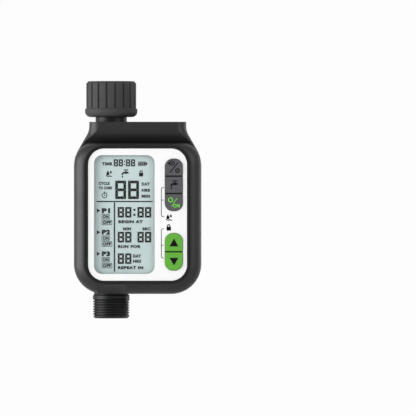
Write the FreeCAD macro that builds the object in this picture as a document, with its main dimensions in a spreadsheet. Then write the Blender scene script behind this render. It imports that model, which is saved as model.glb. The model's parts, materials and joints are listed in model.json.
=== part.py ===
import FreeCAD, Part
import math
import os
import Sketcher
from FreeCAD import Placement, Rotation, Vector

# Drip irrigation timer: a battery controller with a motorised ball valve on a straight pipe.
# Frame: +Z up, +X to the right of the display, the display faces -Y. The origin lies on the
# pipe axis at the mouth of the inlet thread. "Forward" below is the distance in front of the
# pipe axis, so y = -forward. All lengths are millimetres and all angles degrees.

DIMENSIONS = {
    # pipe and threads (G3/4)
    "thread_major_r": 13.22, "thread_minor_r": 12.06, "thread_pitch": 1.814,
    "nut_top": 1.0, "nut_grip_r": 18.0, "nut_collar_r": 18.9, "nut_bottom": -24.8,
    "nut_thread_end": -12.0, "nut_cavity_r": 13.4, "nut_lip_top": -19.0, "nut_lip_r": 11.75,
    "nut_groove_end": -18.4, "nut_groove_wide": 1.7, "nut_groove_deep": 1.1,
    "washer_top": -12.1, "washer_r": 11.9, "washer_hole_r": 7.7, "filter_top": -14.0,
    "filter_flange": 1.0, "filter_mouth_r": 8.0, "filter_tip_r": 5.4, "filter_bottom": -30.0,
    "neck_r": 11.3, "neck_bore_r": 9.0, "spigot_collar_r": 12.4, "spigot_bore_r": 7.5,
    "spigot_flange_r": 16.5, "plug_r": 11.1, "plug_end": -62.0,
    # valve
    "ball_z": -73.0, "ball_r": 10.2, "ball_bore_r": 6.4, "chamber_r": 11.2, "chamber_wall": 2.8,
    "stem_r": 3.5, "stem_tip_r": 2.5, "o_ring_wire_r": 0.6, "nose_r": 9.4,
    # outlet
    "outlet_bore_r": 9.2, "outlet_collar_r": 12.4, "outlet_top": -92.0, "outlet_thread_top": -153.5,
    "outlet_bottom": -169.9, "outlet_land": 1.8, "crest_draft": 0.14,
    # housing
    "housing_x": 19.2, "housing_half": 45.8, "shoulder_half": 34.9, "housing_top": -28.4,
    "housing_bottom": -152.2, "shoulder_straight": 3.0, "concave_r": 13.0, "convex_r": 25.0,
    "corner_r": 21.6, "wall": 2.2, "parting": 2.0, "back_face": 22.0, "neck_front": 21.0,
    "roll_r": 20.0, "roll_top": -31.0, "ledge_end": -56.0,
    "pod_top": -43.6, "pod_rim": 21.4, "ridge_front": 30.0,
    # display panel
    "panel_half": 35.5, "panel_top": -47.7, "panel_bottom": -142.6, "panel_r": 11.5,
    "panel_thick": 1.0, "ridge_gap": 2.6, "ridge_flat": 0.45, "bead_gap": 1.3,
    "bead_wide": 0.55, "bead_front": 28.8, "floor_front": 27.4, "floor_thick": 2.0,
    "window_left": -12.1, "window_right": 31.5, "window_top": -52.4, "window_bottom": -137.8,
    "window_r": 5.8, "window_ledge": 1.6,
    # keys
    "key_left": 39.0, "key_right": 51.5, "grey_top": -55.1, "grey_bottom": -92.5,
    "green_top": -108.5, "green_bottom": -135.2, "key_front": 29.2, "key_gap": 0.25,
    "key_end_r": 5.6, "key_flange": 0.9,
    # electronics
    "board_front": 21.0, "board_thick": 1.6,
    # gear train
    "gear_module": 0.5, "mesh_slack": 0.15, "axle_r": 1.0,
    "box_left": 21.0, "box_right": 35.5, "box_front": -14.0, "box_back": 17.6,
    "box_top": -32.2, "box_bottom": -86.9, "plate": 1.5,
    # battery bay and its door
    "bay_left": 19.5, "bay_right": 49.5, "bay_top": -95.0, "bay_bottom": -147.4, "bay_front": 4.0,
    "ledge": 18.8, "door_gap": 0.3, "rim": 2.1, "hinge_z": -90.7, "hinge_y": 20.2,
    "hinge_pin_r": 0.75, "cell_r": 7.25, "cell_long": 50.5,
}

doc = FreeCAD.newDocument("drip_irrigation_timer")
sheet = doc.addObject("Spreadsheet::Sheet", "dims")


class Size:
    """A number of the model, kept with the sheet formula that it comes from."""

    def __init__(self, text, value):
        self.text = text
        self.value = value

    def __add__(self, other):
        return joined(self, "+", other, self.value + number(other))

    def __radd__(self, other):
        return joined(other, "+", self, number(other) + self.value)

    def __sub__(self, other):
        return joined(self, "-", other, self.value - number(other))

    def __rsub__(self, other):
        return joined(other, "-", self, number(other) - self.value)

    def __mul__(self, other):
        return joined(self, "*", other, self.value * number(other))

    def __rmul__(self, other):
        return joined(other, "*", self, number(other) * self.value)

    def __truediv__(self, other):
        return joined(self, "/", other, self.value / number(other))

    def __neg__(self):
        return Size("(-1 * %s)" % self.text, -self.value)


def number(size):
    return size.value if isinstance(size, Size) else float(size)


def formula(size):
    return size.text if isinstance(size, Size) else "(%.9g)" % size


def joined(first, sign, second, value):
    return Size("(%s %s %s)" % (formula(first), sign, formula(second)), value)


def bind(item, path, size):
    item.setExpression(path, formula(size))


class Dims:
    """The driving dimensions, each a cell of the sheet with an alias."""


dim = Dims()
for row, (alias, value) in enumerate(DIMENSIONS.items(), start=1):
    sheet.set("A%d" % row, alias.replace("_", " "))
    sheet.set("B%d" % row, "%g" % value)
    sheet.setAlias("B%d" % row, alias)
    setattr(dim, alias, Size("dims." + alias, value))
doc.recompute()

nodes = []


def node(label, item):
    """Gives a finished sub-part its name."""
    item.Label = label
    nodes.append(item)
    return item


def place(item, x=0, y=0, z=0):
    """Moves an item by sizes from the sheet."""
    for axis, size in zip("xyz", (x, y, z)):
        bind(item, "Placement.Base." + axis, size)
    return item


# Part primitives

def box(x, y, z):
    """A block between two x, two y and two z levels."""
    item = doc.addObject("Part::Box", "block")
    for path, span in zip(("Length", "Width", "Height"), (x, y, z)):
        bind(item, path, span[1] - span[0])
    return place(item, x[0], y[0], z[0])


TURNS = {
    "X": Rotation(Vector(0, 1, 0), 90),
    "Y": Rotation(Vector(1, 0, 0), -90),
    "Z": Rotation(),
}


def rod(axis, centre, r, span):
    """A round bar along an axis; centre gives its place across the other two, in x, y, z order."""
    item = doc.addObject("Part::Cylinder", "rod")
    item.Placement = Placement(Vector(), TURNS[axis])
    bind(item, "Radius", r)
    bind(item, "Height", span[1] - span[0])
    spot = list(centre)
    spot.insert("XYZ".index(axis), span[0])
    return place(item, *spot)


def ring(axis, centre, r, wire):
    """A ring of round section about an axis; centre is its middle, wire the section's radius."""
    item = doc.addObject("Part::Torus", "ring")
    item.Placement = Placement(Vector(), TURNS[axis])
    bind(item, "Radius1", r)
    bind(item, "Radius2", wire)
    return place(item, *centre)


def sphere(centre, r):
    item = doc.addObject("Part::Sphere", "ball")
    bind(item, "Radius", r)
    return place(item, *centre)


def fuse(*items):
    item = doc.addObject("Part::MultiFuse", "fuse")
    item.Shapes = list(items)
    item.Refine = True
    return item


def cut(base, *tools):
    item = doc.addObject("Part::Cut", "cut")
    item.Base = base
    item.Tool = tools[0] if len(tools) == 1 else fuse(*tools)
    item.Refine = True
    return item


def common(first, second):
    item = doc.addObject("Part::MultiCommon", "common")
    item.Shapes = [first, second]
    return item


def group(*items):
    """Several separate solids that share one node."""
    item = doc.addObject("Part::Compound", "group")
    item.Links = list(items)
    return item


# PartDesign bodies

def body():
    return doc.addObject("PartDesign::Body", "body")


def sketch(owner, plane, offset=0):
    """A sketch on an origin plane: XZ faces forward, XY up and YZ right, offset that way."""
    item = owner.newObject("Sketcher::SketchObject", "sketch")
    role = plane + "_Plane"
    base = [feature for feature in owner.Origin.OriginFeatures if feature.Role == role][0]
    item.AttachmentSupport = [(base, "")]
    item.MapMode = "FlatFace"
    bind(item, "AttachmentOffset.Base.z", offset)
    return item


def lock_point(item, index, end, x, y):
    """Dimensions the end of an edge from the sketch's origin."""
    for kind, size in (("DistanceX", x), ("DistanceY", y)):
        spot = item.addConstraint(Sketcher.Constraint(kind, -1, 1, index, end, number(size)))
        bind(item, "Constraints[%d]" % spot, size)


def arc_through(start, end, r):
    """The short arc between two points; r is positive where it turns left."""
    chord = end.sub(start)
    middle = (start + end) * 0.5
    across = Vector(-chord.y, chord.x, 0).normalize()
    rise = math.sqrt(max(r * r - chord.Length ** 2 / 4, 0))
    centre = middle + across * math.copysign(rise, r)
    first, last = (start, end) if r > 0 else (end, start)
    angles = [math.atan2(p.y - centre.y, p.x - centre.x) for p in (first, last)]
    if angles[1] < angles[0]:
        angles[1] += 2 * math.pi
    circle = Part.Circle(centre, Vector(0, 0, 1), abs(r))
    return Part.ArcOfCircle(circle, angles[0], angles[1])


def outline(item, steps):
    """Draws a closed outline. A step is the next corner (x, y), or (x, y, r) where an arc of
    radius r leads there, r positive for a left turn. The last step is also the start."""
    first = len(item.Geometry)
    spots = [Vector(number(step[0]), number(step[1]), 0) for step in steps]
    starts = []
    ends = []
    for index, step in enumerate(steps):
        start = spots[index - 1]
        if len(step) == 2:
            item.addGeometry(Part.LineSegment(start, spots[index]), False)
            starts.append(1)
            ends.append(2)
        else:
            item.addGeometry(arc_through(start, spots[index], number(step[2])), False)
            starts.append(1 if number(step[2]) > 0 else 2)
            ends.append(2 if number(step[2]) > 0 else 1)
    for index, step in enumerate(steps):
        after = (index + 1) % len(steps)
        item.addConstraint(Sketcher.Constraint(
            "Coincident", first + index, ends[index], first + after, starts[after]))
        lock_point(item, first + index, ends[index], step[0], step[1])
        if len(step) == 3:
            r = step[2] if number(step[2]) > 0 else -1 * step[2]
            spot = item.addConstraint(Sketcher.Constraint("Radius", first + index, number(r)))
            bind(item, "Constraints[%d]" % spot, r)
    return item


def rounded(item, left, right, bottom, top, r):
    """A rectangle with round corners."""
    return outline(item, [
        (right - r, bottom), (right, bottom + r, r), (right, top - r), (right - r, top, r),
        (left + r, top), (left, top - r, r), (left, bottom + r), (left + r, bottom, r)])


def rectangle(item, left, right, bottom, top):
    return outline(item, [(right, bottom), (right, top), (left, top), (left, bottom)])


def circle(item, x, y, r):
    index = item.addGeometry(Part.Circle(Vector(number(x), number(y), 0), Vector(0, 0, 1),
                                         number(r)), False)
    lock_point(item, index, 3, x, y)
    spot = item.addConstraint(Sketcher.Constraint("Radius", index, number(r)))
    bind(item, "Constraints[%d]" % spot, r)
    return item


def feature(owner, kind, profile, length, flip=False, both=False):
    item = owner.newObject("PartDesign::" + kind, kind.lower())
    item.Profile = profile
    bind(item, "Length", length)
    item.Reversed = flip
    item.Midplane = both
    return item


def pad(owner, profile, length, flip=False, both=False):
    return feature(owner, "Pad", profile, length, flip, both)


def pocket(owner, profile, length, flip=False, both=False):
    """Cuts backwards from the sketch, against the way that the sketch faces."""
    return feature(owner, "Pocket", profile, length, flip, both)


def revolve(owner, profile, kind="Revolution"):
    """Turns a sketch of the XZ plane about the pipe axis."""
    item = owner.newObject("PartDesign::" + kind, kind.lower())
    item.Profile = profile
    item.ReferenceAxis = (profile, ["V_Axis"])
    item.Angle = 360
    return item


def thread(owner, mouth, bottom, start, length, up):
    """Cuts a helical V groove along the pipe axis, from its mouth's radius to its bottom's."""
    profile = sketch(owner, "XZ")
    wide = dim.thread_pitch * 0.42
    narrow = dim.thread_pitch * 0.06
    outline(profile, [(mouth, start - wide), (bottom, start - narrow),
                      (bottom, start + narrow), (mouth, start + wide)])
    item = owner.newObject("PartDesign::SubtractiveHelix", "thread")
    item.Profile = profile
    item.ReferenceAxis = (profile, ["V_Axis"])
    item.Mode = 0
    bind(item, "Pitch", dim.thread_pitch)
    bind(item, "Height", length)
    item.Reversed = not up
    item.LeftHanded = False
    return item


def root(size):
    """The square root of a size."""
    return Size("sqrt(%s)" % size.text, math.sqrt(size.value))


# Outlines shared by several sub-parts

SLOPE_SINE = 0.5
SLOPE_COSINE = math.cos(math.radians(30))
SLOPE_TANGENT = SLOPE_SINE / SLOPE_COSINE
shoulder_z = dim.housing_top - dim.shoulder_straight
curve_sum = dim.concave_r + dim.convex_r
flank_wide = dim.housing_half - dim.shoulder_half - curve_sum * (1 - SLOPE_COSINE)
flank_z = shoulder_z - curve_sum * SLOPE_SINE - flank_wide / SLOPE_TANGENT


def housing(item, inset):
    """The housing seen from the front: square shoulders that flare at 30 degrees, round feet."""
    middle = dim.housing_x
    side = dim.housing_half - inset
    neck = dim.shoulder_half - inset
    concave = dim.concave_r + inset
    convex = dim.convex_r - inset
    corner = dim.corner_r - inset
    foot = dim.housing_half - dim.corner_r
    foot_z = dim.housing_bottom + dim.corner_r
    bottom = dim.housing_bottom + inset
    top = dim.housing_top - inset
    flare = dim.shoulder_half + dim.concave_r - concave * SLOPE_COSINE
    flare_z = shoulder_z - concave * SLOPE_SINE
    bulge = dim.housing_half - dim.convex_r + convex * SLOPE_COSINE
    bulge_z = flank_z + convex * SLOPE_SINE
    return outline(item, [
        (middle + foot, bottom),
        (middle + side, foot_z, corner),
        (middle + side, flank_z),
        (middle + bulge, bulge_z, convex),
        (middle + flare, flare_z),
        (middle + neck, shoulder_z, -concave),
        (middle + neck, top),
        (middle - neck, top),
        (middle - neck, shoulder_z),
        (middle - flare, flare_z, -concave),
        (middle - bulge, bulge_z),
        (middle - side, flank_z, convex),
        (middle - side, foot_z),
        (middle - foot, bottom, corner)])


def pod(item, side, top):
    """The hollow inside the pod, set in from the housing's sides and from the pod's top."""
    return rounded(item, dim.housing_x - dim.housing_half + side,
                   dim.housing_x + dim.housing_half - side,
                   dim.housing_bottom + side, dim.pod_top - top, dim.corner_r - side)


POD_TOP_SHARE = 0.2
BROW_SINE = math.sin(math.radians(15))
BROW_COSINE = math.cos(math.radians(15))


def pod_base(item, inset):
    """A level of the pod's flanks: the housing's outline below, round upper corners above."""
    middle = dim.housing_x
    side = dim.housing_half - inset
    convex = dim.convex_r - inset
    corner = dim.corner_r - inset
    foot = dim.housing_half - dim.corner_r
    foot_z = dim.housing_bottom + dim.corner_r
    bottom = dim.housing_bottom + inset
    top = dim.pod_top - inset * POD_TOP_SHARE
    brow = (top - flank_z - convex * BROW_SINE) / (1 - BROW_SINE)
    crown = dim.housing_half - dim.convex_r + (convex - brow) * BROW_COSINE
    bulge = dim.housing_half - dim.convex_r + convex * BROW_COSINE
    bulge_z = flank_z + convex * BROW_SINE
    return outline(item, [
        (middle + foot, bottom),
        (middle + side, foot_z, corner),
        (middle + side, flank_z),
        (middle + bulge, bulge_z, convex),
        (middle + crown, top, brow),
        (middle - crown, top),
        (middle - bulge, bulge_z, brow),
        (middle - side, flank_z, convex),
        (middle - side, foot_z),
        (middle - foot, bottom, corner)])


def ridge_line(item, gap):
    """The ridge round the panel, its upper corners in two arcs to pair with the pod's foot."""
    left = dim.housing_x - dim.panel_half - gap
    right = dim.housing_x + dim.panel_half + gap
    bottom = dim.panel_bottom - gap
    top = dim.panel_top + gap
    r = dim.panel_r + gap
    bend = r * (1 - math.cos(math.radians(45)))
    return outline(item, [
        (right - r, bottom),
        (right, bottom + r, r),
        (right, top - r),
        (right - bend, top - bend, r),
        (right - r, top, r),
        (left + r, top),
        (left + bend, top - bend, r),
        (left, top - r, r),
        (left, bottom + r),
        (left + r, bottom, r)])


def around_panel(item, gap):
    """An outline that runs round the display panel at a constant gap."""
    return rounded(item, dim.housing_x - dim.panel_half - gap, dim.housing_x + dim.panel_half + gap,
                   dim.panel_bottom - gap, dim.panel_top + gap, dim.panel_r + gap)


def around_window(item, gap):
    """An outline that runs round the display window at a constant gap."""
    return rounded(item, dim.window_left - gap, dim.window_right + gap,
                   dim.window_bottom - gap, dim.window_top + gap, dim.window_r + gap)


def key_outline(item, key, gap):
    """A key seen from the front, grown by a gap: its outer corners follow the capsule's ends."""
    left = dim.key_left - gap
    right = dim.key_right + gap
    bottom = key["bottom"] - gap
    top = key["top"] + gap
    low = key["low_r"] + gap
    high = key["high_r"] + gap
    return outline(item, [
        (right - low, bottom), (right, bottom + low, low), (right, top - high),
        (right - high, top, high), (left + high, top), (left, top - high, high),
        (left, bottom + low), (left + low, bottom, low)])


def capsule(item, top, bottom, gap):
    return rounded(item, dim.key_left - gap, dim.key_right + gap, bottom - gap, top + gap,
                   dim.key_end_r + gap)


KEY_DIVIDER = 0.9
KEY_SQUARE_R = 0.4
third = (dim.grey_top - dim.grey_bottom) / 3
middle_green = (dim.green_top + dim.green_bottom) / 2
KEYS = {
    "key_mode": {"top": dim.grey_top, "bottom": dim.grey_top - third + KEY_DIVIDER / 2,
                 "high_r": dim.key_end_r, "low_r": KEY_SQUARE_R},
    "key_tap": {"top": dim.grey_top - third - KEY_DIVIDER / 2,
                "bottom": dim.grey_bottom + third + KEY_DIVIDER / 2,
                "high_r": KEY_SQUARE_R, "low_r": KEY_SQUARE_R},
    "key_on_off": {"top": dim.grey_bottom + third - KEY_DIVIDER / 2, "bottom": dim.grey_bottom,
                   "high_r": KEY_SQUARE_R, "low_r": dim.key_end_r},
    "key_up": {"top": dim.green_top, "bottom": middle_green + KEY_DIVIDER / 2,
               "high_r": dim.key_end_r, "low_r": KEY_SQUARE_R},
    "key_down": {"top": middle_green - KEY_DIVIDER / 2, "bottom": dim.green_bottom,
                 "high_r": KEY_SQUARE_R, "low_r": dim.key_end_r},
}

# Screws that hold the two shells: x, z and whether the boss stands in the shallow neck
SHELL_SCREWS = [(47.0, -35.0, True), (-19.2, -61.0, False), (-19.2, -125.0, False),
                (57.6, -75.0, False), (57.2, -128.0, False)]
SCREW_SEAT = 14.0
BOARD_SCREWS = [(36.3, -52.5), (36.3, -139.3), (46.0, -100.5), (-17.4, -95.0)]
BOSS_R = 3.2
SEAL_OUTER = 0.8
SEAL_INNER = 1.4
SEAL_DEEP = 1.0
PILOT_R = 1.2
neck_inside = 14.3
pod_inside = 21.0
window_back = dim.floor_front - dim.floor_thick
CHIN = {"left": -12.5, "right": 14.5, "top": -143.3, "bottom": -150.4, "high_bottom": -147.8}
outlet_hole_r = dim.outlet_collar_r + 0.15
inlet_hole_r = dim.neck_r + 0.15


# The rounded flank between the pod's rim and its ridge: how far forward, how far set in
FLANK_LEVELS = [(24.0, 0.5), (26.5, 2.0), (28.8, 4.6)]


def front_shell():
    """The display half of the housing: a plain neck, and a pod whose flanks slope to a ridge."""
    shell = body()
    block = pad(shell, housing(sketch(shell, "XZ", dim.parting), 0), dim.neck_front - dim.parting)
    doc.recompute()
    fillet = shell.newObject("PartDesign::Fillet", "flank")
    fillet.Base = (block, front_edges(block, -dim.neck_front.value))
    fillet.Radius = 8
    roll = sketch(shell, "YZ", dim.housing_x)
    drop = dim.roll_top - dim.pod_top
    depth = dim.neck_front - dim.roll_r + root(dim.roll_r * dim.roll_r - drop * drop)
    outline(roll, [(-dim.neck_front, dim.roll_top), (-depth, dim.pod_top, dim.roll_r),
                   (-depth, dim.ledge_end), (-dim.neck_front - 1, dim.ledge_end),
                   (-dim.neck_front - 1, dim.roll_top)])
    pocket(shell, roll, 120, both=True)
    pad(shell, pod_base(sketch(shell, "XZ", 8), 0), dim.pod_rim - 8)
    flank = shell.newObject("PartDesign::AdditiveLoft", "pod_flank")
    flank.Profile = pod_base(sketch(shell, "XZ", dim.pod_rim), 0)
    levels = [pod_base(sketch(shell, "XZ", front), inset) for front, inset in FLANK_LEVELS]
    flank.Sections = levels + [ridge_line(sketch(shell, "XZ", dim.ridge_front), dim.ridge_gap)]
    flank.Ruled = False
    pocket(shell, around_panel(sketch(shell, "XZ", dim.ridge_front),
                               dim.ridge_gap - dim.ridge_flat), dim.ridge_front - dim.floor_front)
    bead = sketch(shell, "XZ", dim.floor_front)
    around_panel(bead, dim.bead_gap + dim.bead_wide / 2)
    around_panel(bead, dim.bead_gap - dim.bead_wide / 2)
    pad(shell, bead, dim.bead_front - dim.floor_front)
    hollow_shell(shell)
    doc.recompute()
    return node("front_shell", shell)


def front_edges(item, y):
    """The edges of the outline at one y level, apart from the straight top edge."""
    names = []
    for index, edge in enumerate(item.Shape.Edges, start=1):
        bounds = edge.BoundBox
        flat = abs(bounds.YMin - y) < 1e-4 and abs(bounds.YMax - y) < 1e-4
        if flat and bounds.ZMin < dim.housing_top.value - 0.01:
            names.append("Edge%d" % index)
    return names


def hollow_shell(shell):
    """The inside of the front shell, its bosses, and its openings."""
    pocket(shell, housing(sketch(shell, "XZ", dim.parting), dim.wall),
           neck_inside - dim.parting, flip=True)
    pocket(shell, pod(sketch(shell, "XZ", neck_inside - 0.5), 2.4, 2.4),
           pod_inside - neck_inside + 0.5, flip=True)
    pocket(shell, pod(sketch(shell, "XZ", pod_inside), 5.6, 3.6), window_back - pod_inside,
           flip=True)
    for low, front in ((CHIN["bottom"], pod_inside), (CHIN["high_bottom"], window_back)):
        chin = rectangle(sketch(shell, "XZ", dim.parting), CHIN["left"], CHIN["right"], low,
                         CHIN["top"])
        pad(shell, chin, front - dim.parting)
    scoop = sketch(shell, "YZ", 1.1)
    scoop_top = dim.panel_bottom - dim.ridge_gap
    outline(scoop, [(-dim.ridge_front + 0.9, scoop_top), (-17.5, dim.housing_bottom - 0.4),
                    (-dim.ridge_front - 1, dim.housing_bottom - 0.4),
                    (-dim.ridge_front - 1, scoop_top)])
    pocket(shell, scoop, 20.5, both=True)
    for height, r in ((CHIN["top"] + 0.5, outlet_hole_r), (dim.housing_top + 0.5, inlet_hole_r)):
        pocket(shell, circle(sketch(shell, "XY", height), 0, 0, r), 11.5)
    for x, z, shallow in SHELL_SCREWS:
        deep = neck_inside if shallow else window_back
        pad(shell, circle(sketch(shell, "XZ", dim.parting), x, z, BOSS_R), deep - dim.parting)
        pocket(shell, circle(sketch(shell, "XZ", dim.parting), x, z, PILOT_R), 11, flip=True)
    for x, z in BOARD_SCREWS:
        post = sketch(shell, "XZ", dim.board_front)
        circle(post, x, z, 1.9)
        circle(post, x, z, 0.8)
        pad(shell, post, window_back - dim.board_front)
    pocket(shell, around_window(sketch(shell, "XZ", dim.floor_front), 0.4), dim.floor_thick + 0.1)
    pocket(shell, around_window(sketch(shell, "XZ", dim.floor_front), dim.window_ledge), 1.0)
    for key in KEYS.values():
        pocket(shell, key_outline(sketch(shell, "XZ", dim.floor_front), key, dim.key_gap),
               dim.floor_thick + 0.1)


def rear_shell():
    """The wall half of the housing, with the walls of the battery bay standing in it."""
    shell = body()
    block = pad(shell, housing(sketch(shell, "XZ", dim.parting), 0),
                dim.parting + dim.back_face, flip=True)
    doc.recompute()
    fillet = shell.newObject("PartDesign::Fillet", "back_edge")
    fillet.Base = (block, front_edges(block, dim.back_face.value))
    fillet.Radius = 3
    pocket(shell, housing(sketch(shell, "XZ", dim.parting), dim.wall),
           dim.parting + dim.back_face - dim.wall)
    groove = sketch(shell, "XZ", dim.parting)
    housing(groove, SEAL_OUTER)
    housing(groove, SEAL_INNER)
    pocket(shell, groove, SEAL_DEEP)
    bay_wall = dim.rim + 1.5
    pad(shell, rectangle(sketch(shell, "XZ", -dim.bay_front + 1.6), dim.bay_left - bay_wall,
                         dim.bay_right + bay_wall, dim.bay_bottom - 2.6, dim.hinge_z + 3.6),
        dim.back_face - dim.wall - dim.bay_front + 1.7, flip=True)
    pocket(shell, rectangle(sketch(shell, "XZ", -dim.bay_front), dim.bay_left, dim.bay_right,
                            dim.bay_bottom, dim.bay_top), 20)
    pocket(shell, rectangle(sketch(shell, "XZ", -dim.ledge), dim.bay_left - dim.rim,
                            dim.bay_right + dim.rim, dim.bay_bottom - 1.6, dim.hinge_z - 2.4), 10)
    pocket(shell, rectangle(sketch(shell, "XZ", -dim.ledge + 0.6), dim.bay_left + 1,
                            dim.bay_right - 1, dim.hinge_z - 2.6, dim.hinge_z + 2.3), 10)
    bore_hinge(shell)
    for x, z, shallow in SHELL_SCREWS:
        pad(shell, circle(sketch(shell, "XZ", dim.parting), x, z, BOSS_R),
            dim.parting + dim.back_face - 1, flip=True)
        pocket(shell, circle(sketch(shell, "XZ", dim.parting), x, z, 1.65), 30)
        pocket(shell, circle(sketch(shell, "XZ", -SCREW_SEAT), x, z, 2.8), 10)
    pads_for_pipe(shell)
    doc.recompute()
    return node("rear_shell", shell)


def bore_hinge(shell):
    """The cross hole for the battery door's pin."""
    pocket(shell, circle(sketch(shell, "YZ", dim.bay_right + dim.rim - 0.6), dim.hinge_y,
                         dim.hinge_z, dim.hinge_pin_r), dim.bay_right - dim.bay_left + 3.0)


def pads_for_pipe(shell):
    """The chin block round the outlet and the two holes that the pipe passes through."""
    chin = rectangle(sketch(shell, "XZ", dim.parting), CHIN["left"], CHIN["right"],
                     CHIN["bottom"], CHIN["top"])
    pad(shell, chin, dim.parting + dim.back_face - dim.wall, flip=True)
    for height, r in ((CHIN["top"] + 0.5, outlet_hole_r), (dim.housing_top + 0.5, inlet_hole_r)):
        pocket(shell, circle(sketch(shell, "XY", height), 0, 0, r), 11.5)


def shell_gasket():
    """A cord seal in the joint between the shells, open where the pipe passes."""
    seal = body()
    face = sketch(seal, "XZ", dim.parting)
    housing(face, SEAL_OUTER)
    housing(face, SEAL_INNER)
    pad(seal, face, SEAL_DEEP, flip=True)
    return seal


# The shells and what closes them

def shell_screws():
    """Self-tapping screws from the back into the front shell's bosses."""
    screws = []
    for x, z, shallow in SHELL_SCREWS:
        head = rod("Y", (x, z), 2.6, (SCREW_SEAT, SCREW_SEAT + 2.4))
        cross = box((x - 1.5, x + 1.5), (SCREW_SEAT + 1.2, SCREW_SEAT + 3), (z - 0.4, z + 0.4))
        second = box((x - 0.4, x + 0.4), (SCREW_SEAT + 1.2, SCREW_SEAT + 3), (z - 1.5, z + 1.5))
        shank = rod("Y", (x, z), 1.15, (-12, SCREW_SEAT + 0.2))
        screws.append(cut(fuse(head, shank), cross, second))
    return node("shell_screws", group(*screws))


def shell_gasket_node():
    """The cord seal, with the stretches at the pipe's holes taken out."""
    seal = shell_gasket()
    gap = rod("Z", (0, 0), outlet_hole_r + 1, (-160, 0))
    return node("shell_gasket", cut(seal, gap))


# Display panel, window and display

def face_panel():
    """The pale panel that fills the surround, with its window and the two key openings."""
    panel = body()
    face = sketch(panel, "XZ", dim.floor_front)
    around_panel(face, 0)
    around_window(face, 0)
    capsule(face, dim.grey_top, dim.grey_bottom, dim.key_gap)
    capsule(face, dim.green_top, dim.green_bottom, dim.key_gap)
    pad(panel, face, dim.panel_thick)
    return node("face_panel", panel)


def lcd_lens():
    """The clear window: a flange behind the panel and a raised face that fills its opening."""
    lens = body()
    pad(lens, around_window(sketch(lens, "XZ", dim.floor_front - 1), dim.window_ledge - 0.1), 1.0)
    pad(lens, around_window(sketch(lens, "XZ", dim.floor_front), -0.1), dim.panel_thick - 0.1)
    return node("lcd_lens", lens)


GLASS = {"left": -13.6, "right": 33.0, "top": -50.9, "bottom": -139.3}
glass_front = window_back - 0.1
glass_back = glass_front - 2.2
board_back = dim.board_front - dim.board_thick


def lcd_glass():
    """The display glass with its ledge along the top for the contacts."""
    glass = box((GLASS["left"], GLASS["right"]), (-glass_front, -glass_back),
                (GLASS["bottom"], GLASS["top"]))
    step = box((GLASS["left"] - 1, GLASS["right"] + 1), (-glass_front + 1.1, -glass_back + 1),
               (GLASS["top"] - 1.6, GLASS["top"] + 1))
    return node("lcd_glass", cut(glass, step))


def lcd_frame():
    """The moulded frame that holds the glass on the board."""
    frame = body()
    face = sketch(frame, "XZ", dim.board_front)
    rounded(face, GLASS["left"] - 1, GLASS["right"] + 1, GLASS["bottom"] - 1,
            GLASS["top"] + 1, 1.5)
    rectangle(face, GLASS["left"], GLASS["right"], GLASS["bottom"], GLASS["top"])
    pad(frame, face, glass_front - dim.board_front)
    return node("lcd_frame", frame)


def zebra_strips():
    """The two striped rubber connectors between the board and the glass."""
    strips = []
    for low in (GLASS["top"] - 3.6, GLASS["bottom"] + 1.2):
        strips.append(box((GLASS["left"] + 2, GLASS["right"] - 2), (-glass_back, -dim.board_front),
                          (low, low + 1.8)))
    return node("zebra_strips", group(*strips))


# Keys

def key(name):
    """A key cap with side flanges behind the shell and a contact pill on its post."""
    size = KEYS[name]
    cap_back = window_back - 0.2
    cap = body()
    block = pad(cap, key_outline(sketch(cap, "XZ", cap_back), size, 0), dim.key_front - cap_back)
    doc.recompute()
    crown = cap.newObject("PartDesign::Fillet", "crown")
    crown.Base = (block, front_edges(block, -dim.key_front.value))
    crown.Radius = 0.3
    middle_x = (dim.key_left + dim.key_right) / 2
    middle_z = (size["top"] + size["bottom"]) / 2
    flange = rectangle(sketch(cap, "XZ", cap_back - 0.8), dim.key_left - dim.key_flange,
                       dim.key_right + dim.key_flange, size["bottom"] + 0.2, size["top"] - 0.2)
    pad(cap, flange, 0.8)
    pad(cap, circle(sketch(cap, "XZ", cap_back - 2.3), middle_x, middle_z, 1.8), 1.6)
    doc.recompute()
    node(name, cap)
    pill = rod("Y", (middle_x, middle_z), 1.6, (-cap_back + 2.3, -cap_back + 2.7))
    node(name + "_contact", pill)


def keypad_mats():
    """The two rubber mats on the board, with a well round each key's contact."""
    middle_x = (dim.key_left + dim.key_right) / 2
    mats = []
    for top, bottom in ((dim.grey_top, dim.grey_bottom), (dim.green_top, dim.green_bottom)):
        mat = box((dim.key_left - 1.4, dim.key_right + 1.4),
                  (-dim.board_front - 1, -dim.board_front), (bottom - 0.6, top + 0.6))
        wells = []
        for size in KEYS.values():
            middle_z = (size["top"] + size["bottom"]) / 2
            if number(bottom) < number(middle_z) < number(top):
                wells.append(rod("Y", (middle_x, middle_z), 2.6,
                                 (-dim.board_front - 2, -dim.board_front + 1)))
        mats.append(cut(mat, *wells))
    return node("keypad_mats", group(*mats))


# Electronics

def main_board():
    """The circuit board behind the display and the keys."""
    board = body()
    pad(board, rounded(sketch(board, "XZ", board_back), -20.2, 54.0, -142.4, -48.4, 15.0),
        dim.board_thick)
    holes = []
    for x, z, shallow in SHELL_SCREWS:
        if not shallow:
            holes.append(rod("Y", (x, z), BOSS_R + 0.5, (-30, 0)))
    for x, z in BOARD_SCREWS:
        holes.append(rod("Y", (x, z), 1.1, (-30, 0)))
    return node("main_board", cut(board, *holes))


def board_screws():
    screws = []
    for x, z in BOARD_SCREWS:
        head = rod("Y", (x, z), 1.7, (-board_back, -board_back + 1.2))
        shank = rod("Y", (x, z), 0.75, (-board_back - 4.5, -board_back + 0.2))
        slot = box((x - 1.2, x + 1.2), (-board_back + 0.7, -board_back + 1.3), (z - 0.3, z + 0.3))
        screws.append(cut(fuse(head, shank), slot))
    return node("board_screws", group(*screws))


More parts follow.
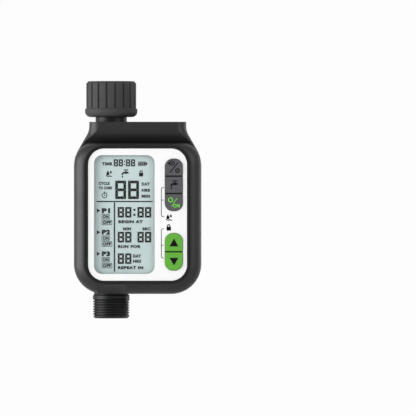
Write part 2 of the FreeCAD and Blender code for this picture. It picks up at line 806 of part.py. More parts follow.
def on_board(x, z, wide, tall, thick):
    """A block-shaped component on the back of the board."""
    return box((x - wide / 2, x + wide / 2), (-board_back, -board_back + thick),
               (z - tall / 2, z + tall / 2))


def board_chips():
    chips = [on_board(26, -104, 10, 10, 1.4), on_board(6, -104, 5, 4, 1.5),
             on_board(44, -70, 5, 4, 1.5)]
    return node("board_chips", group(*chips))


def crystal():
    can = on_board(34, -118, 3.2, 8, 2.6)
    return node("crystal", can)


def buzzer():
    shellcase = rod("Y", (46, -119), 5, (-board_back, -board_back + 3.0))
    vent = rod("Y", (46, -119), 0.8, (-board_back + 2.0, -board_back + 4))
    return node("buzzer", cut(shellcase, vent))


def capacitors():
    cans = []
    for x in (-8, 0):
        cans.append(rod("Y", (x, -134), 2.5, (-board_back, -board_back + 5.4)))
    return node("capacitors", group(*cans))


# Inlet: union nut, washer, filter and spigot

GRIPS = 18


def inlet_nut():
    """The tap union: eighteen flat grips over a round collar, G3/4 inside, a lip at the foot."""
    nut = body()
    half = sketch(nut, "XZ")
    chamfer = 1.6
    foot_r = 4.0
    outline(half, [
        (dim.thread_minor_r + 1, dim.nut_top),
        (dim.thread_minor_r, dim.nut_top - 1),
        (dim.thread_minor_r, dim.nut_thread_end),
        (dim.nut_cavity_r, dim.nut_thread_end),
        (dim.nut_cavity_r, dim.nut_lip_top),
        (dim.nut_lip_r, dim.nut_lip_top),
        (dim.nut_lip_r, dim.nut_bottom),
        (dim.nut_collar_r - foot_r, dim.nut_bottom),
        (dim.nut_collar_r, dim.nut_bottom + foot_r, foot_r),
        (dim.nut_collar_r, dim.nut_groove_end - 1),
        (dim.nut_grip_r, dim.nut_groove_end),
        (dim.nut_grip_r, dim.nut_top - chamfer),
        (dim.nut_grip_r - chamfer, dim.nut_top)])
    revolve(nut, half)
    thread(nut, dim.thread_minor_r - 0.3, dim.thread_major_r, dim.nut_top - 0.3,
           dim.nut_top - dim.nut_thread_end - 1.0, up=False)
    groove = sketch(nut, "XY", dim.nut_top + 0.5)
    groove.AttachmentOffset = Placement(Vector(), Rotation(Vector(0, 0, 1), 180 / GRIPS))
    wide = dim.nut_groove_wide / 2
    outline(groove, [(-wide * 0.45, dim.nut_grip_r - dim.nut_groove_deep),
                     (-wide, dim.nut_grip_r + 0.3), (wide, dim.nut_grip_r + 0.3),
                     (wide * 0.45, dim.nut_grip_r - dim.nut_groove_deep)])
    notch = pocket(nut, groove, dim.nut_top + 0.5 - dim.nut_groove_end)
    doc.recompute()
    repeat = nut.newObject("PartDesign::PolarPattern", "grips")
    repeat.Originals = [notch]
    repeat.Axis = (groove, ["N_Axis"])
    repeat.Angle = 360
    repeat.Occurrences = GRIPS
    nut.Tip = repeat
    return node("inlet_nut", nut)


def turned(label, steps):
    """A round piece on the pipe axis, from the outline of its half section."""
    item = body()
    revolve(item, outline(sketch(item, "XZ"), steps))
    return node(label, item) if label else item


def inlet_washer():
    return turned("inlet_washer", [
        (dim.washer_hole_r, dim.filter_top), (dim.washer_r, dim.filter_top),
        (dim.washer_r, dim.washer_top), (dim.washer_hole_r, dim.washer_top)])


filter_seat = dim.filter_top - dim.filter_flange
FILTER_WALL = 0.8


def inlet_filter():
    """The filter basket: a flange, a tapering cage with six windows and a closed tip."""
    cage = turned(None, [
        (dim.filter_mouth_r - FILTER_WALL, filter_seat - 1.4),
        (dim.filter_tip_r - FILTER_WALL, dim.filter_bottom + 1),
        (0, dim.filter_bottom + 1),
        (0, dim.filter_bottom),
        (dim.filter_tip_r, dim.filter_bottom),
        (dim.filter_mouth_r + 0.6, filter_seat),
        (dim.washer_r, filter_seat),
        (dim.washer_r, dim.filter_top),
        (dim.filter_mouth_r - FILTER_WALL, dim.filter_top)])
    opening = pocket(cage, rectangle(sketch(cage, "XZ", 10), -2.6, 2.6, dim.filter_bottom + 2.2,
                                     filter_seat - 1.8), 10)
    doc.recompute()
    repeat = cage.newObject("PartDesign::PolarPattern", "windows")
    repeat.Originals = [opening]
    repeat.Axis = (cage.Origin.OriginFeatures[2], [""])
    repeat.Angle = 360
    repeat.Occurrences = 6
    cage.Tip = repeat
    return node("inlet_filter", cage)


def filter_mesh():
    """The fine screen inside the basket's windows."""
    thin = 0.35
    mouth = dim.filter_mouth_r - FILTER_WALL
    tip = dim.filter_tip_r - FILTER_WALL
    return turned("filter_mesh", [
        (mouth, filter_seat - 1.4), (mouth - thin, filter_seat - 1.4),
        (tip - thin, dim.filter_bottom + 1), (tip, dim.filter_bottom + 1)])


nut_collar_bottom = dim.nut_lip_top + 0.4


def inlet_spigot():
    """The pipe that the nut turns on: collar, visible neck, flange in the housing and plug."""
    pipe = turned(None, [
        (dim.neck_bore_r, filter_seat),
        (dim.neck_bore_r, dim.filter_bottom - 1.5),
        (dim.spigot_bore_r, dim.filter_bottom - 3),
        (dim.spigot_bore_r, dim.plug_end),
        (dim.plug_r, dim.plug_end),
        (dim.plug_r, -55.8),
        (dim.plug_r - 1.1, -55.8),
        (dim.plug_r - 1.1, -54.4),
        (dim.plug_r, -54.4),
        (dim.plug_r, -50),
        (dim.spigot_flange_r, -50),
        (dim.spigot_flange_r, -46.4),
        (dim.neck_r, -46.4),
        (dim.neck_r, -34.6),
        (13.4, -34.6),
        (13.4, -31.6),
        (dim.neck_r, -31.6),
        (dim.neck_r, nut_collar_bottom),
        (dim.spigot_collar_r, nut_collar_bottom),
        (dim.spigot_collar_r, filter_seat)])
    return node("inlet_spigot", cut(pipe, *flange_bolts(1.6, (-51, -45))))


def seal_rings():
    """The O-rings that stay still: round the inlet plug and round the valve's outlet nose."""
    node("inlet_o_ring", ring("Z", (0, 0, -55.1), dim.plug_r - 0.5, dim.o_ring_wire_r))
    node("outlet_o_ring", ring("Z", (0, 0, -96.1), dim.nose_r - 0.56, dim.o_ring_wire_r))


# Valve

FLANGE_SCREWS = [45 + 90 * step for step in range(4)]
FLANGE_SCREW_R = 14.6
seat_top = dim.plug_end
seat_bottom = 2 * dim.ball_z - dim.plug_end
chamber_outside = dim.chamber_r + dim.chamber_wall
boss_end = dim.box_left


def flange_bolts(r, span):
    """Rods at the four flange screws."""
    bolts = []
    for angle in FLANGE_SCREWS:
        turn = math.radians(angle)
        spot = (FLANGE_SCREW_R * math.cos(turn), FLANGE_SCREW_R * math.sin(turn))
        bolts.append(rod("Z", spot, r, span))
    return bolts


def valve_body():
    """The chamber round the ball, with a flange for the spigot, a nose and the stem's boss."""
    shape = turned(None, [
        (dim.chamber_r, -50),
        (dim.spigot_flange_r + 0.5, -50),
        (dim.spigot_flange_r + 0.5, -58),
        (chamber_outside, -58),
        (chamber_outside, -88),
        (dim.nose_r + 1.8, -88),
        (dim.nose_r + 1.8, -92),
        (dim.nose_r, -92),
        (dim.nose_r, -95.4),
        (dim.nose_r - 1.2, -95.4),
        (dim.nose_r - 1.2, -96.8),
        (dim.nose_r, -96.8),
        (dim.nose_r, -100),
        (dim.ball_bore_r, -100),
        (dim.ball_bore_r, seat_bottom),
        (dim.chamber_r, seat_bottom)])
    boss = rod("X", (0, dim.ball_z), 6.2, (dim.chamber_r + 0.8, boss_end))
    bore = rod("X", (0, dim.ball_z), dim.stem_r + 0.1, (dim.chamber_r - 1, boss_end + 1))
    return node("valve_body", cut(fuse(shape, boss), bore, *flange_bolts(1.2, (-57, -49))))


def valve_screws():
    screws = []
    heads = flange_bolts(2.0, (-46.4, -44.6))
    shanks = flange_bolts(1.15, (-56.5, -46.2))
    sockets = flange_bolts(0.9, (-45.6, -44))
    for head, shank, socket in zip(heads, shanks, sockets):
        screws.append(cut(fuse(head, shank), socket))
    return node("valve_screws", group(*screws))


def seats():
    """The two slippery rings that the ball turns between."""
    clearance = dim.ball_r + 0.05
    reach = 4.5
    for label, span in (("seat_upper", (seat_top - reach, seat_top)),
                        ("seat_lower", (seat_bottom, seat_bottom + reach))):
        blank = rod("Z", (0, 0), dim.chamber_r - 0.05, span)
        hole = rod("Z", (0, 0), dim.ball_bore_r, (-90, -55))
        node(label, cut(blank, hole, sphere((0, 0, dim.ball_z), clearance)))


def valve_ball():
    """The ball, closed at rest: its bore lies across the pipe."""
    ball = sphere((0, 0, dim.ball_z), dim.ball_r)
    bore = rod("Y", (0, dim.ball_z), dim.ball_bore_r, (-12, 12))
    slot = rod("X", (0, dim.ball_z), 2.6, (7.6, 12))
    return node("valve_ball", cut(ball, bore, slot))


GEAR_LAYERS = {"slow": (23.6, 26.9), "middle": (27.6, 29.9), "fast": (30.6, 32.9)}


STEM_SEALS = (14.5, 18.0)


def valve_stem():
    """The stem from the ball's slot, through its seals, to the last gear."""
    slim = rod("X", (0, dim.ball_z), 2.6, (7.8, 11))
    thick = rod("X", (0, dim.ball_z), dim.stem_r, (10.3, 22.9))
    tip = rod("X", (0, dim.ball_z), dim.stem_tip_r, (22.8, 27.4))
    grooves = []
    for x in STEM_SEALS:
        grooves.append(cut(rod("X", (0, dim.ball_z), 4, (x - 0.7, x + 0.7)),
                           rod("X", (0, dim.ball_z), 2.4, (x - 1, x + 1))))
    return node("valve_stem", cut(fuse(slim, thick, tip), *grooves))


def stem_o_rings():
    seals = []
    for x in STEM_SEALS:
        seals.append(ring("X", (x, 0, dim.ball_z), 2.97, 0.57))
    return node("stem_o_rings", group(*seals))


def outlet_tube():
    """The outlet: a socket on the valve's nose, a collar under the housing and a G3/4 thread
    with a little draft, which ends at a plain land."""
    pipe = body()
    chamfer = 1.4
    land_end = dim.outlet_thread_top - dim.outlet_land
    thread_start = dim.outlet_bottom + 1.2
    revolve(pipe, outline(sketch(pipe, "XZ"), [
        (dim.outlet_bore_r, dim.outlet_bottom),
        (dim.thread_major_r - chamfer, dim.outlet_bottom),
        (dim.thread_major_r - dim.crest_draft, dim.outlet_bottom + chamfer),
        (dim.thread_major_r, land_end),
        (dim.thread_major_r, dim.outlet_thread_top),
        (dim.outlet_collar_r, dim.outlet_thread_top + 0.8),
        (dim.outlet_collar_r, -143.8),
        (11.4, -141.5),
        (11.4, -103),
        (12.0, -101),
        (12.0, dim.outlet_top),
        (dim.nose_r + 0.05, dim.outlet_top),
        (dim.nose_r + 0.05, -100.2),
        (dim.ball_bore_r + 0.8, -102),
        (dim.ball_bore_r + 0.8, -146),
        (dim.outlet_bore_r, -150)]))
    thread(pipe, dim.thread_major_r + 0.3, dim.thread_minor_r, thread_start,
           land_end - thread_start - 0.9, up=True)
    doc.recompute()
    return node("outlet_tube", pipe)


# Gear train from the motor to the ball

PINION = 12
WHEEL = 42
LAST_WHEEL = 48
PRESSURE = math.radians(20)


def step_from(spot, teeth, angle):
    """The centre of a gear that meshes with a pinion, seen from the pinion's wheel mate."""
    reach = dim.gear_module.value * teeth / 2 + dim.mesh_slack.value
    turn = math.radians(angle)
    return (spot[0] + reach * math.cos(turn), spot[1] + reach * math.sin(turn))


ANGLE_B = 80
ANGLE_A = 105
ANGLE_MOTOR = -15
centre_valve = (0.0, dim.ball_z.value)
centre_b = step_from(centre_valve, PINION + LAST_WHEEL, ANGLE_B)
centre_a = step_from(centre_b, PINION + WHEEL, ANGLE_A)
centre_motor = step_from(centre_a, PINION + WHEEL, ANGLE_MOTOR)


def gear(teeth, layer, centre, first_tooth, bore):
    """An involute gear about an X axis; first_tooth is the direction of one tooth in degrees."""
    module = dim.gear_module.value
    pitch_r = module * teeth / 2
    base_r = pitch_r * math.cos(PRESSURE)
    small = teeth == PINION
    tip_r = pitch_r + module * (1.0 if small else 0.75)
    root_r = pitch_r - module * (1.0 if small else 1.25)
    start_r = max(base_r, root_r)
    inv = math.tan(PRESSURE) - PRESSURE
    half = math.pi / (2 * teeth) - 0.02 / pitch_r + inv
    low, high = GEAR_LAYERS[layer]

    def point(r, angle):
        return Vector(low, centre[0] + r * math.cos(angle), centre[1] + r * math.sin(angle))

    def flank(side, tooth):
        points = []
        for share in range(5):
            r = start_r + (tip_r - start_r) * share / 4
            roll = math.acos(base_r / r)
            points.append(point(r, tooth + side * (half - math.tan(roll) + roll)))
        return points

    edges = []
    for index in range(teeth):
        tooth = math.radians(first_tooth) + 2 * math.pi * index / teeth
        rise = flank(-1, tooth)
        fall = flank(1, tooth)
        fall.reverse()
        after = tooth + 2 * math.pi / teeth
        foot = [point(root_r, tooth - half), point(root_r, tooth + half),
                point(root_r, after - half)]
        if start_r > root_r:
            edges.append(Part.LineSegment(foot[0], rise[0]).toShape())
        curve = Part.BSplineCurve()
        curve.interpolate(rise)
        edges.append(curve.toShape())
        edges.append(Part.Arc(rise[-1], point(tip_r, tooth), fall[0]).toShape())
        curve = Part.BSplineCurve()
        curve.interpolate(fall)
        edges.append(curve.toShape())
        end = fall[-1]
        if start_r > root_r:
            edges.append(Part.LineSegment(fall[-1], foot[1]).toShape())
            end = foot[1]
        begin = foot[2]
        if start_r == root_r:
            begin = flank(-1, after)[0]
        edges.append(Part.Arc(end, point(root_r, tooth + math.pi / teeth), begin).toShape())
    face = Part.Face(Part.Wire(Part.__sortEdges__(edges)))
    solid = face.extrude(Vector(high - low, 0, 0))
    hole = Part.makeCylinder(bore, high - low + 2, Vector(low - 1, *centre), Vector(1, 0, 0))
    item = doc.addObject("Part::Feature", "gear")
    item.Shape = solid.cut(hole)
    return item


def facing(first, second):
    """The direction in degrees from one gear's centre to another's."""
    return math.degrees(math.atan2(second[1] - first[1], second[0] - first[0]))


def between_teeth(teeth, first, second):
    """The direction of a tooth when the gap beside it faces another gear."""
    return facing(first, second) + 180 / teeth


SHAFT_END = 50.0


def gears():
    """Motor pinion, two wheels with pinions, and the last wheel on the ball's stem."""
    slide = dim.axle_r.value + 0.05
    last = gear(LAST_WHEEL, "slow", centre_valve,
                between_teeth(LAST_WHEEL, centre_valve, centre_b), dim.stem_tip_r.value)
    node("output_gear", last)
    wheel = gear(WHEEL, "middle", centre_b, between_teeth(WHEEL, centre_b, centre_a), slide)
    pinion = gear(PINION, "slow", centre_b, facing(centre_b, centre_valve), slide)
    hub = tube_between(centre_b, 2.2, slide, "slow", "middle")
    node("gear_b", fuse(wheel, pinion, hub))
    wheel = gear(WHEEL, "fast", centre_a, between_teeth(WHEEL, centre_a, centre_motor), slide)
    pinion = gear(PINION, "middle", centre_a, facing(centre_a, centre_b), slide)
    hub = tube_between(centre_a, 2.2, slide, "middle", "fast")
    node("gear_a", fuse(wheel, pinion, hub))
    node("motor_pinion", gear(PINION, "fast", centre_motor, facing(centre_motor, centre_a),
                              dim.axle_r.value))
    node("motor_shaft", rod("X", centre_motor, dim.axle_r, (GEAR_LAYERS["fast"][0] - 0.2, SHAFT_END)))


def tube_between(centre, r, bore, first, second):
    """The hub that joins a pinion to its wheel."""
    span = (GEAR_LAYERS[first][1] - 0.2, GEAR_LAYERS[second][0] + 0.2)
    wide = (span[0] - 1, span[1] + 1)
    return cut(rod("X", centre, r, span), rod("X", centre, bore, wide))


# Gear case and motor

CASE_WALL = 1.1
base_right = dim.box_left + dim.plate
cover_left = dim.box_right - dim.plate
MOTOR_SCREW_SPREAD = 5.5
CASE_CORNERS = [(-11.6, -36.2), (14.9, -36.2), (-11.6, -83.5), (14.9, -83.5)]


def gearbox_base():
    """The plate that the valve's boss ends against, with bearing holes."""
    plate = box((dim.box_left, base_right), (dim.box_front, dim.box_back),
                (dim.box_bottom, dim.box_top))
    stem = rod("X", centre_valve, dim.stem_r + 0.05, (20, 24))
    holes = [stem]
    for centre in (centre_a, centre_b):
        holes.append(rod("X", centre, dim.axle_r, (21.4, 24)))
    for corner in CASE_CORNERS:
        holes.append(rod("X", corner, 1.0, (20, 24)))
    return node("gearbox_base", cut(plate, *holes))


def gearbox_cover():
    """The case over the gears, with the far axle holes and the motor's mounting face."""
    case = box((base_right, dim.box_right), (dim.box_front, dim.box_back),
               (dim.box_bottom, dim.box_top))
    inside = box((base_right - 1, cover_left), (dim.box_front + CASE_WALL, dim.box_back - CASE_WALL),
                 (dim.box_bottom + CASE_WALL, dim.box_top - CASE_WALL))
    posts = [rod("X", corner, 1.9, (base_right, cover_left + 0.5)) for corner in CASE_CORNERS]
    holes = [rod("X", corner, 1.2, (base_right - 1, dim.box_right + 1)) for corner in CASE_CORNERS]
    for centre in (centre_a, centre_b):
        holes.append(rod("X", centre, dim.axle_r, (30, dim.box_right - 0.4)))
    holes.append(rod("X", centre_motor, 1.6, (30, 40)))
    for side in (-1, 1):
        spot = (centre_motor[0], centre_motor[1] + side * MOTOR_SCREW_SPREAD)
        holes.append(rod("X", spot, 1.0, (30, 40)))
    return node("gearbox_cover", cut(fuse(cut(case, inside), *posts), *holes))


def gearbox_screws():
    screws = []
    for corner in CASE_CORNERS:
        head = rod("X", corner, 1.8, (dim.box_right, dim.box_right + 1.2))
        shank = rod("X", corner, 1.0, (dim.box_left + 0.2, dim.box_right + 0.2))
        slot = box((dim.box_right + 0.7, dim.box_right + 1.4), (corner[0] - 1.2, corner[0] + 1.2),
                   (corner[1] - 0.25, corner[1] + 0.25))
        screws.append(cut(fuse(head, shank), slot))
    return node("gearbox_screws", group(*screws))


def gear_axles():
    axles = [rod("X", centre, dim.axle_r, (21.4, dim.box_right - 0.4))
             for centre in (centre_a, centre_b)]
    return node("gear_axles", group(*axles))


MOTOR_END = 51.5


def motor():
    """A small flat-sided motor, its shaft hole, rear cap and two terminals."""
    round_can = rod("X", centre_motor, 7.7, (dim.box_right, MOTOR_END - 1.5))
    flat = box((dim.box_right - 1, MOTOR_END), (centre_motor[0] - 5.8, centre_motor[0] + 5.8),
               (centre_motor[1] - 9, centre_motor[1] + 9))
    cap = rod("X", centre_motor, 3, (MOTOR_END - 1.6, MOTOR_END))
    tabs = []
    for side in (-1, 1):
        tabs.append(box((MOTOR_END - 1.6, MOTOR_END + 1.0),
                        (centre_motor[0] - 1, centre_motor[0] + 1),
                        (centre_motor[1] + side * 5 - 0.25, centre_motor[1] + side * 5 + 0.25)))
    holes = [rod("X", centre_motor, dim.axle_r + 0.05, (30, MOTOR_END - 1))]
    for side in (-1, 1):
        spot = (centre_motor[0], centre_motor[1] + side * MOTOR_SCREW_SPREAD)
        holes.append(rod("X", spot, 0.9, (35, 38.8)))
    return node("motor", cut(fuse(common(round_can, flat), cap, *tabs), *holes))


def motor_screws():
    screws = []
    for side in (-1, 1):
        spot = (centre_motor[0], centre_motor[1] + side * MOTOR_SCREW_SPREAD)
        head = rod("X", spot, 1.5, (cover_left - 0.8, cover_left))
        shank = rod("X", spot, 0.9, (cover_left - 0.2, 38.8))
        slot = box((cover_left - 0.9, cover_left - 0.5), (spot[0] - 1.1, spot[0] + 1.1),
                   (spot[1] - 0.2, spot[1] + 0.2))
        screws.append(cut(fuse(head, shank), slot))
    return node("motor_screws", group(*screws))


# Batteries and their door

CONTACT_THICK = 0.4
SPRING_LONG = 1.1
CELLS = [(27.0, 1), (42.0, -1)]
CELL_Y = 11.3
NUB_LONG = 1.2


def battery_cells():
    """Two AA cells, one each way up."""
    cells = []
    for x, way in CELLS:
        low = dim.bay_bottom + CONTACT_THICK
        low = low + SPRING_LONG if way > 0 else low
        high = low + dim.cell_long
        if way > 0:
            can = rod("Z", (x, CELL_Y), dim.cell_r, (low, high - NUB_LONG))
            nub = rod("Z", (x, CELL_Y), 2.7, (high - NUB_LONG - 0.2, high))
        else:
            can = rod("Z", (x, CELL_Y), dim.cell_r, (low + NUB_LONG, high))
            nub = rod("Z", (x, CELL_Y), 2.7, (low, low + NUB_LONG + 0.2))
        cells.append(fuse(can, nub))
    return node("battery_cells", group(*cells))


def battery_contacts():
    plates = []
    for x, way in CELLS:
        for low in (dim.bay_bottom, dim.bay_top - CONTACT_THICK):
            plates.append(box((x - 4.8, x + 4.8), (CELL_Y - 5, CELL_Y + 5),
                              (low, low + CONTACT_THICK)))
    return node("battery_contacts", group(*plates))


def battery_springs():
    """One turn of spring wire under each cell's flat end."""
    springs = []
    wire = 0.3
    for x, way in CELLS:
        floor = dim.bay_bottom.value + CONTACT_THICK
        if way < 0:
            floor = dim.bay_top.value - CONTACT_THICK - SPRING_LONG
        rise = SPRING_LONG - 2 * wire
        path = Part.Wire(Part.makeHelix(rise, rise, 3.8))
        section = Part.Wire(Part.makeCircle(wire, Vector(3.8, 0, 0), Vector(0, 1, 0)))
        coil = path.makePipeShell([section], True, True)
        item = doc.addObject("Part::Feature", "spring")
        item.Shape = coil
        item.Placement = Placement(Vector(x, CELL_Y, floor + wire), Rotation())
        springs.append(item)
    return node("battery_springs", group(*springs))


def battery_door():
    """The door in the back: a plate, its hinge knuckle and a finger ridge at the foot."""
    gap = dim.door_gap
    outer = dim.back_face
    inner = dim.ledge + 1.0
    plate = box((dim.bay_left - dim.rim + gap, dim.bay_right + dim.rim - gap), (inner, outer),
                (dim.bay_bottom - 1.6 + gap, dim.hinge_z - 3.2))
    neck = box((dim.bay_left + 1.2, dim.bay_right - 1.2), (inner, outer - 0.1),
               (dim.hinge_z - 3.4, dim.hinge_z))
    knuckle = rod("X", (dim.hinge_y, dim.hinge_z), 1.7, (dim.bay_left + 1.2, dim.bay_right - 1.2))
    bore = rod("X", (dim.hinge_y, dim.hinge_z), dim.hinge_pin_r + 0.05,
               (dim.bay_left, dim.bay_right))
    grips = []
    for step in range(4):
        low = dim.bay_bottom + 3.0 + 1.6 * step
        grips.append(box((dim.housing_x + 8, dim.housing_x + 22), (outer - 0.5, outer + 1),
                         (low, low + 0.8)))
    return node("battery_door", cut(fuse(plate, neck, knuckle), bore, *grips))


def door_gasket():
    """The rubber frame on the inside of the door."""
    outside = box((18.0, 51.0), (dim.ledge + 0.1, dim.ledge + 1.0),
                  (dim.bay_bottom - 1.1, dim.bay_top + 1.0))
    inside = box((19.3, 49.7), (dim.ledge - 1, dim.ledge + 2),
                 (dim.bay_bottom - 0.2, dim.bay_top + 0.2))
    return node("door_gasket", cut(outside, inside))


def hinge_pin():
    return node("hinge_pin", rod("X", (dim.hinge_y, dim.hinge_z), dim.hinge_pin_r,
                                 (dim.bay_left - 1.5, dim.bay_right + 1.5)))


# Leads inside the housing

LEAD_R = 0.55


def lead(points, bend):
    """An insulated lead: straight runs joined by tangent arcs."""
    edges = []
    start = Vector(*points[0])
    for index in range(1, len(points) - 1):
        corner = Vector(*points[index])
        back = Vector(*points[index - 1]).sub(corner).normalize()
        ahead = Vector(*points[index + 1]).sub(corner).normalize()
        half = math.acos(max(-1, min(1, back.dot(ahead)))) / 2
        reach = bend / math.tan(half)
        enter = corner + back * reach
        leave = corner + ahead * reach
        inward = (back + ahead).normalize()
        centre = corner + inward * (bend / math.sin(half))
        middle = centre - inward * bend
        edges.append(Part.LineSegment(start, enter).toShape())
        edges.append(Part.Arc(enter, middle, leave).toShape())
        start = leave
    edges.append(Part.LineSegment(start, Vector(*points[-1])).toShape())
    path = Part.Wire(edges)
    heading = Vector(*points[1]).sub(Vector(*points[0]))
    section = Part.Wire(Part.makeCircle(LEAD_R, Vector(*points[0]), heading))
    item = doc.addObject("Part::Feature", "lead")
    item.Shape = path.makePipeShell([section], True, False)
    return item


def motor_leads():
    """Two leads from the motor's terminals forward to the board."""
    leads = []
    y, z = centre_motor
    for side in (-1, 1):
        tail = MOTOR_END + 1.0
        level = z + side * 5
        drop = -62 + 3 * side
        leads.append(lead([(tail, y, level), (tail + 2.2, y, level), (tail + 1, y - 12, drop + 2),
                           (MOTOR_END, -14, drop), (MOTOR_END, -board_back.value, drop)], 1.2))
    return node("motor_leads", group(*leads))


def battery_leads():
    """Two leads from the bay's front wall forward to the board."""
    leads = []
    for x in (24.0, 28.0):
        leads.append(lead([(x, 2.4, -92.0), (x, -4.0, -92.0), (x + 4, -12.0, -98.0),
                           (x + 4, -board_back.value, -98.0)], 1.6))
    return node("battery_leads", group(*leads))


def build():
    """Makes every sub-part, outside first."""
    front_shell()
    rear_shell()
    shell_gasket_node()
    shell_screws()
    face_panel()
    lcd_lens()
    lcd_glass()
    lcd_frame()
    zebra_strips()
    for name in KEYS:
        key(name)
    keypad_mats()
    main_board()
    board_screws()
    board_chips()
    crystal()
    buzzer()
    capacitors()
    inlet_nut()
    inlet_washer()
    inlet_filter()
    filter_mesh()
    inlet_spigot()
    seal_rings()
    valve_body()
    valve_screws()
    seats()
    valve_ball()
    valve_stem()
    stem_o_rings()
    outlet_tube()
    gears()
    gearbox_base()
    gearbox_cover()
    gearbox_screws()
    gear_axles()
    motor()
    motor_screws()
    battery_cells()
    battery_contacts()
    battery_springs()
    battery_door()
    door_gasket()
    hinge_pin()
    motor_leads()
    battery_leads()
    doc.recompute()


def write():
    """Checks every object and writes one file for each sub-part."""
    for item in doc.Objects:
        if "Invalid" in item.State or "Error" in item.State:
            raise RuntimeError("%s could not be built" % item.Label)
    for item in nodes:
        if item.Shape.isNull() or not item.Shape.isValid() or not item.Shape.Solids:
            raise RuntimeError("%s has no sound solid" % item.Label)
    os.makedirs("parts", exist_ok=True)
    for item in nodes:
        item.Shape.exportStep("parts/%s.step" % item.Label)
    print("%d sub-parts written" % len(nodes))


build()
write()
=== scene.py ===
import json
import math

import bpy
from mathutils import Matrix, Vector


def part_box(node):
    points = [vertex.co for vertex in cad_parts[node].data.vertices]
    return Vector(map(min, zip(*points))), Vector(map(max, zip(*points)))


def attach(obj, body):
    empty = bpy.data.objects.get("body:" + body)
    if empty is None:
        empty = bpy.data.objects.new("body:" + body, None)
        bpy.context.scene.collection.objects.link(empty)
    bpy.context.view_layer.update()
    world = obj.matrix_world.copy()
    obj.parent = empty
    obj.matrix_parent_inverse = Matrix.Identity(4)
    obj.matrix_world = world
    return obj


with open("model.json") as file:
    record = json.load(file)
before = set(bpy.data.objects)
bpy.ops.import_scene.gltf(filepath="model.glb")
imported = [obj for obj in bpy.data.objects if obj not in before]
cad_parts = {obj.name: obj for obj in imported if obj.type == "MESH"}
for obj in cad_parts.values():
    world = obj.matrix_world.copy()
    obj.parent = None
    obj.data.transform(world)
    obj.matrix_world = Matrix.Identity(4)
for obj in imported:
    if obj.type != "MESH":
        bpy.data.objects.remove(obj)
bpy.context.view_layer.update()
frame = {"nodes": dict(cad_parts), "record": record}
nodes = frame["nodes"]
MM = 0.001


# Materials. Each is built from nodes, with its detail in the object's own coordinates.

def linear(value):
    """A display value from 0 to 255 as the shader's linear number."""
    share = value / 255
    return share / 12.92 if share <= 0.04045 else ((share + 0.055) / 1.055) ** 2.4


def colour(red, green, blue):
    return (linear(red), linear(green), linear(blue), 1)


class Look:
    """A material under construction: its node tree, its shader and short ways to add nodes."""

    def __init__(self, name, rough, metal=0.0, specular=0.5):
        self.material = bpy.data.materials.new(name)
        self.material.use_nodes = True
        self.tree = self.material.node_tree
        self.shader = self.tree.nodes["Principled BSDF"]
        self.shader.inputs["Roughness"].default_value = rough
        self.shader.inputs["Metallic"].default_value = metal
        self.shader.inputs["Specular IOR Level"].default_value = specular
        self.place = self.add("ShaderNodeTexCoord").outputs["Object"]

    def add(self, kind, **settings):
        node = self.tree.nodes.new(kind)
        for key, value in settings.items():
            setattr(node, key, value)
        return node

    def join(self, output, target):
        self.tree.links.new(output, target)

    def stretched(self, factors):
        """The object's coordinates, scaled along each axis."""
        mapping = self.add("ShaderNodeMapping")
        mapping.inputs["Scale"].default_value = factors
        self.join(self.place, mapping.inputs["Vector"])
        return mapping.outputs["Vector"]

    def noise(self, scale, detail=3.0, rough=0.5, where=None):
        node = self.add("ShaderNodeTexNoise")
        node.inputs["Scale"].default_value = scale
        node.inputs["Detail"].default_value = detail
        node.inputs["Roughness"].default_value = rough
        self.join(where or self.place, node.inputs["Vector"])
        return node.outputs["Fac"]

    def cells(self, scale):
        node = self.add("ShaderNodeTexVoronoi")
        node.inputs["Scale"].default_value = scale
        self.join(self.place, node.inputs["Vector"])
        return node.outputs["Distance"]

    def ramp(self, value, stops):
        """A colour ramp over a value; stops are (position, colour)."""
        node = self.add("ShaderNodeValToRGB")
        elements = node.color_ramp.elements
        while len(elements) < len(stops):
            elements.new(0.5)
        for element, (position, tint) in zip(elements, stops):
            element.position = position
            element.color = tint
        self.join(value, node.inputs["Fac"])
        return node.outputs["Color"]

    def spread(self, value, low, high):
        """A value between 0 and 1 moved to lie between low and high."""
        node = self.add("ShaderNodeMapRange")
        node.inputs["To Min"].default_value = low
        node.inputs["To Max"].default_value = high
        self.join(value, node.inputs["Value"])
        return node.outputs["Result"]

    def paint(self, output):
        self.join(output, self.shader.inputs["Base Color"])

    def roughness(self, output):
        self.join(output, self.shader.inputs["Roughness"])

    def bump(self, output, depth, after=None):
        """Relief of a depth in metres; after chains it on an earlier relief."""
        node = self.add("ShaderNodeBump")
        node.inputs["Strength"].default_value = 1.0
        node.inputs["Distance"].default_value = depth
        self.join(output, node.inputs["Height"])
        if after:
            self.join(after, node.inputs["Normal"])
        self.join(node.outputs["Normal"], self.shader.inputs["Normal"])
        return node.outputs["Normal"]


def shade(rgb, factor):
    return (rgb[0] * factor, rgb[1] * factor, rgb[2] * factor, 1)


def moulded(name, rgb, rough, grain=900, depth=0.00001, vary=0.12, specular=0.5):
    """Moulded plastic: fine spark-eroded grain, faint flow marks and an uneven sheen."""
    look = Look(name, rough, specular=specular)
    flow = look.noise(45, detail=4)
    look.paint(look.ramp(flow, [(0.3, shade(rgb, 1 - vary)), (0.7, shade(rgb, 1 + vary))]))
    look.roughness(look.spread(look.noise(160, detail=5), rough - 0.06, rough + 0.06))
    fine = look.bump(look.noise(grain, detail=2), depth)
    look.bump(look.cells(grain * 2.2), depth * 0.5, after=fine)
    return look.material


